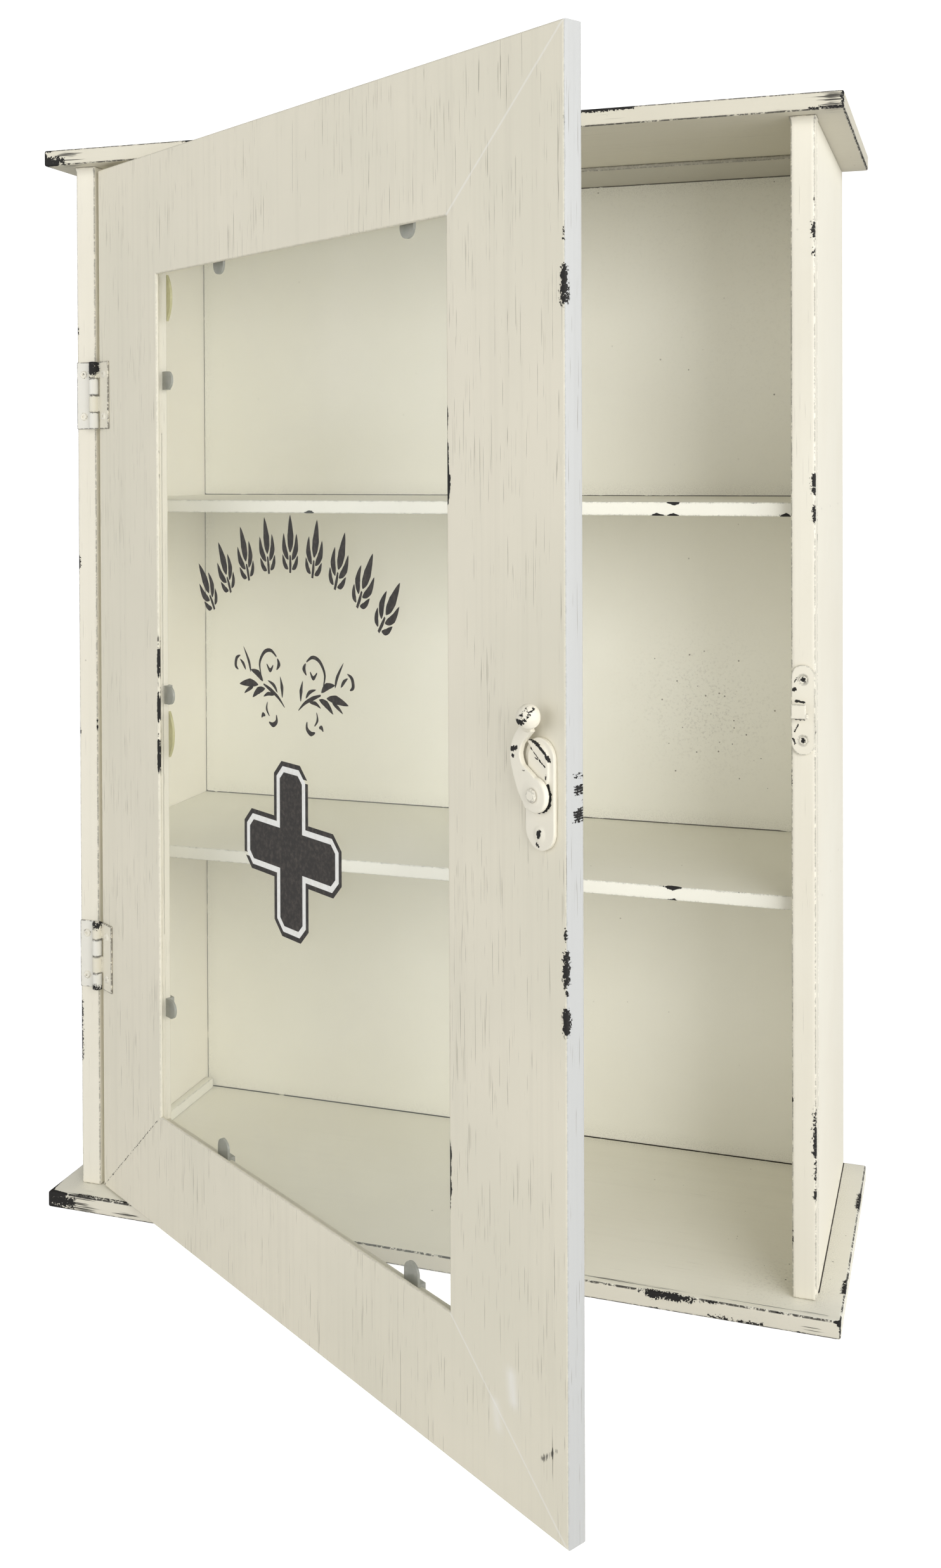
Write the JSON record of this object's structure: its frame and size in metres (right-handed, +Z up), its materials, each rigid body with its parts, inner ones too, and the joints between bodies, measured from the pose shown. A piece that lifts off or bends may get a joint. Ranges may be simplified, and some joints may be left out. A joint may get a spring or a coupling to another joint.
{
  "type": "medicine cabinet",
  "caption": "Wall medicine cabinet with shelves, a mitred glazed door on butt hinges and a turning thumb latch with a keeper.",
  "frame": {"origin": "centre of the base board's underside", "axes": "+X to the viewer's right facing the door, +Y to the rear, +Z up"},
  "size_m": [0.5, 0.4216, 0.677],
  "materials": {
    "painted_wood": "distressed cream paint",
    "inner_paint": "aged cream paint",
    "bare_wood": "bare",
    "painted_iron": "chipped cream paint",
    "steel": "dull",
    "pane": "clear",
    "clip_plastic": "smoky clear",
    "glue": "dull"
  },
  "bodies": {
    "carcass": {"base_board": "painted_wood", "top_board": "painted_wood", "left_post": "painted_wood", "right_post": "painted_wood", "left_side_panel": "inner_paint", "right_side_panel": "inner_paint", "back_panel": "inner_paint", "lower_shelf": "inner_paint", "upper_shelf": "inner_paint", "ceiling_strip": "inner_paint", "left_base_bead": "inner_paint", "right_base_bead": "inner_paint", "rear_top_rail": "bare_wood", "rear_bottom_rail": "bare_wood", "post_dowels": "bare_wood", "upper_hinge_post_leaf": "painted_iron", "lower_hinge_post_leaf": "painted_iron", "upper_hinge_pin": "painted_iron", "lower_hinge_pin": "painted_iron", "hinge_post_screws": "painted_iron", "keeper_plate": "painted_iron", "keeper_screws": "painted_iron", "side_panel_brads": "steel", "shelf_brads": "steel", "back_panel_brads": "steel", "hanger_plates": "steel", "hanger_screws": "steel"},
    "door": {"door_hinge_stile": "painted_wood", "door_lock_stile": "painted_wood", "door_top_rail": "painted_wood", "door_bottom_rail": "painted_wood", "mitre_dowels": "bare_wood", "door_glass": "pane", "glass_clips": "clip_plastic", "glass_clip_screws": "steel", "glazing_dabs": "glue", "upper_hinge_door_leaf": "painted_iron", "lower_hinge_door_leaf": "painted_iron", "hinge_door_screws": "painted_iron", "latch_plate": "painted_iron", "latch_plate_screws": "painted_iron", "latch_rivet": "painted_iron"},
    "lever": {"latch_lever": "painted_iron"}
  },
  "joints": [
    {"name": "door_hinge", "type": "hinge", "parent": "carcass", "child": "door", "pos_m": [-0.21925, -0.0848, 0.34], "axis": [0, 0, -1], "range_deg": [-32.3, 142]},
    {"name": "latch_turn", "type": "hinge", "parent": "door", "child": "lever", "pos_m": [0.14006, -0.30804, 0.333], "axis": [0.5344, 0.8453, 0], "range_deg": [0, 90]}
  ]
}
